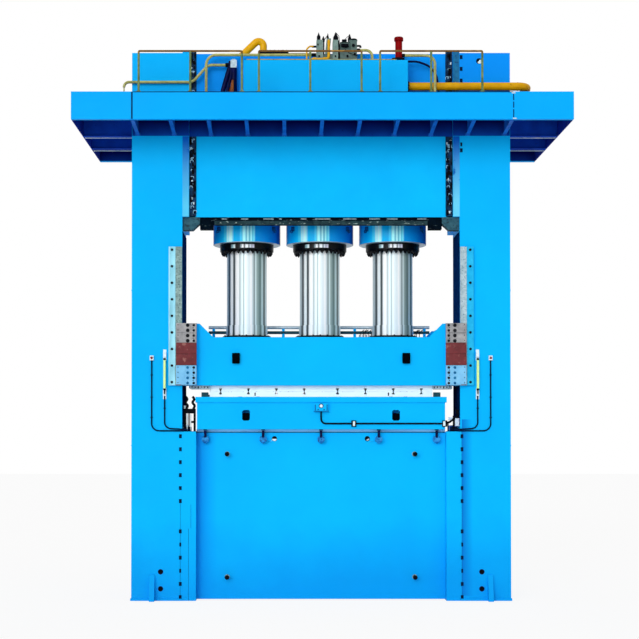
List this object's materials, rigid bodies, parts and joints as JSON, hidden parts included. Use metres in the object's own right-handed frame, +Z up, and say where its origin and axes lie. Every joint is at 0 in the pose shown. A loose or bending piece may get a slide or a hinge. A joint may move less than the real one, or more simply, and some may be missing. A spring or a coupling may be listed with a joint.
{
  "type": "hydraulic press",
  "caption": "Large blue hydraulic press with chromed rams over a guided slide, T-slot plates, a head walkway with guard rails, and oil equipment on the crown.",
  "frame": {"origin": "on the floor under the middle of the press", "axes": "+Z up, +X to the operator's right, +Y from the front to the rear"},
  "size_m": [13.134, 6.2, 15.3512],
  "materials": {
    "black_iron": "blackened, oily",
    "button_red": "moulded, polished",
    "cable_black": "smooth sheath",
    "collar_blue": "gloss blue enamel",
    "curtain_yellow": "pale yellow powder coat",
    "filter_red": "red enamel",
    "fitting_white": "moulded",
    "machined_steel": "milled steel",
    "pipe_yellow": "yellow pipe enamel",
    "press_blue": "semi-gloss blue machine enamel",
    "rail_gold": "dark yellow enamel",
    "rail_pale": "thin pale blue primer on machined steel",
    "ram_chrome": "ground hard chrome",
    "shoe_grey": "ground steel, oiled",
    "stop_teal": "dark teal enamel",
    "valve_grey": "grey-green anodised",
    "wedge_red": "red oxide primer"
  },
  "bodies": {
    "frame": {"bed": "press_blue", "bed_side_plates": "press_blue", "bolster": "press_blue", "bolster_base_plate": "machined_steel", "button_boxes": "fitting_white", "column_keys": "black_iron", "conduit_clips": "black_iron", "conduits": "cable_black", "crown": "press_blue", "crown_ledges": "machined_steel", "crown_side_plates": "press_blue", "crown_under_plate": "black_iron", "curtain_brackets": "fitting_white", "drain_pipes": "cable_black", "filling_flange": "black_iron", "filling_pipe": "pipe_yellow", "front_walkway_fascia": "press_blue", "gland_nuts": "black_iron", "guard_rails": "rail_gold", "guide_rail_bolts": "machined_steel", "guide_rails": "rail_pale", "hold_down_clamps": "collar_blue", "left_column": "press_blue", "left_cylinder": "collar_blue", "left_gland": "black_iron", "lifting_pegs": "black_iron", "light_curtains": "curtain_yellow", "lower_t_slot_plate": "machined_steel", "middle_cylinder": "collar_blue", "middle_gland": "black_iron", "oil_pipes": "pipe_yellow", "oil_tank": "press_blue", "pilot_valves": "black_iron", "pump_manifold": "valve_grey", "rear_walkway_fascia": "press_blue", "return_filter": "filter_red", "right_column": "press_blue", "right_cylinder": "collar_blue", "right_gland": "black_iron", "table_conduit": "cable_black", "table_lifting_tab": "press_blue", "table_stop_blocks": "stop_teal", "upper_stop_blocks": "black_iron", "walkway_brackets": "press_blue", "walkway_decks": "press_blue", "wing_joists": "press_blue", "wing_side_fascias": "press_blue"},
    "slide": {"guide_shoes": "shoe_grey", "left_ram": "ram_chrome", "lower_shoe_plates": "rail_pale", "middle_ram": "ram_chrome", "right_ram": "ram_chrome", "shoe_bolts": "black_iron", "slide": "press_blue", "slide_cross_pipe": "shoe_grey", "upper_shoe_plates": "shoe_grey", "upper_t_slot_plate": "machined_steel", "wedge_blocks": "wedge_red"},
    "left_button": {"left_button": "button_red"},
    "right_button": {"right_button": "button_red"}
  },
  "joints": [
    {"name": "slide_stroke", "type": "slide", "parent": "frame", "child": "slide", "axis": [0, 0, 1], "range_m": [0, 2]},
    {"name": "left_button_press", "type": "slide", "parent": "frame", "child": "left_button", "axis": [0, 1, 0], "range_m": [0, 0.006], "stiffness_N_per_m": 800},
    {"name": "right_button_press", "type": "slide", "parent": "frame", "child": "right_button", "axis": [0, 1, 0], "range_m": [0, 0.006], "stiffness_N_per_m": 800}
  ]
}
